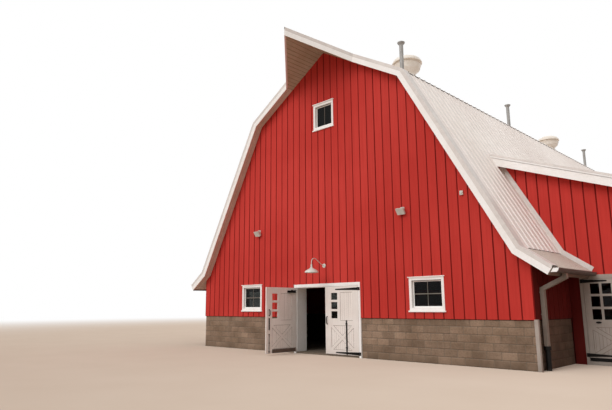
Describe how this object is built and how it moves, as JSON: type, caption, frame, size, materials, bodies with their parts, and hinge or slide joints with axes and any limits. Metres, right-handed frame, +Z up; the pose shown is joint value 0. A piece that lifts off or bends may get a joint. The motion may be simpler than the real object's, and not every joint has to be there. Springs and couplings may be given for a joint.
{
  "type": "barn",
  "caption": "Gambrel-roofed barn with a block base, vertical board siding, a hay hood, a lean-to wing and hinged doors that swing outwards.",
  "frame": {"origin": "on the ground, in the middle of the main barn's floor", "axes": "+X to the right seen from the front gable, +Y from the front gable to the back, +Z up"},
  "size_m": [20.4376, 29.0629, 11.9997],
  "materials": {
    "red_siding": "painted, satin",
    "white_trim": "painted, satin",
    "door_paint": "painted, satin",
    "block": "rough",
    "concrete": "rough",
    "loft_boards": "bare, matte",
    "roof_metal": "ribbed, semi-gloss",
    "vent_metal": "satin",
    "pipe_metal": "satin",
    "gutter_brown": "satin",
    "downspout_tan": "satin",
    "drain_black": "matte",
    "black_iron": "satin",
    "lamp_enamel": "gloss",
    "glass": "clear, dark behind"
  },
  "bodies": {
    "barn": {"floor_slabs": "concrete", "loft_floor": "loft_boards", "front_block_base": "block", "rear_block_base": "block", "side_block_bases": "block", "front_wall": "red_siding", "front_gable": "red_siding", "rear_wall": "red_siding", "left_wall": "red_siding", "right_wall": "red_siding", "roof_upper": "roof_metal", "roof_lower": "roof_metal", "roof_flares": "roof_metal", "roof_flare_in_wing": "roof_metal", "hay_hood": "roof_metal", "ridge_cap": "roof_metal", "rake_boards": "white_trim", "eave_fascia": "white_trim", "window_frames": "white_trim", "window_glass": "glass", "wing_front_wall": "red_siding", "wing_front_gable": "red_siding", "wing_rear_wall": "red_siding", "wing_side_wall": "red_siding", "wing_roof": "roof_metal", "wing_fascia": "white_trim", "wing_flashing": "white_trim", "front_door_frame": "white_trim", "wing_door_frame": "white_trim", "hinge_pintles": "black_iron", "ventilators": "vent_metal", "vent_pipes": "pipe_metal", "gutter": "gutter_brown", "downspout": "downspout_tan", "drain_pipe": "drain_black", "corner_post": "white_trim", "barn_lamp": "lamp_enamel", "floodlights": "lamp_enamel"},
    "left_door": {"left_leaf": "door_paint", "left_leaf_glass": "glass", "left_leaf_hardware": "black_iron"},
    "right_door": {"right_leaf": "door_paint", "right_leaf_glass": "glass", "right_leaf_hardware": "black_iron"},
    "wing_door": {"wing_leaf": "door_paint", "wing_leaf_glass": "glass", "wing_leaf_hardware": "black_iron"}
  },
  "joints": [
    {"name": "left_door_hinge", "type": "hinge", "parent": "barn", "child": "left_door", "pos_m": [-1.413, -13.4592, 0], "axis": [0, 0, 1], "range_deg": [-80, 90]},
    {"name": "right_door_hinge", "type": "hinge", "parent": "barn", "child": "right_door", "pos_m": [1.333, -13.4592, 0], "axis": [0, 0, 1], "range_deg": [0, 170]},
    {"name": "wing_door_hinge", "type": "hinge", "parent": "barn", "child": "wing_door", "pos_m": [7.075, -11.0208, 0], "axis": [0, 0, 1], "range_deg": [-95, 0]}
  ]
}
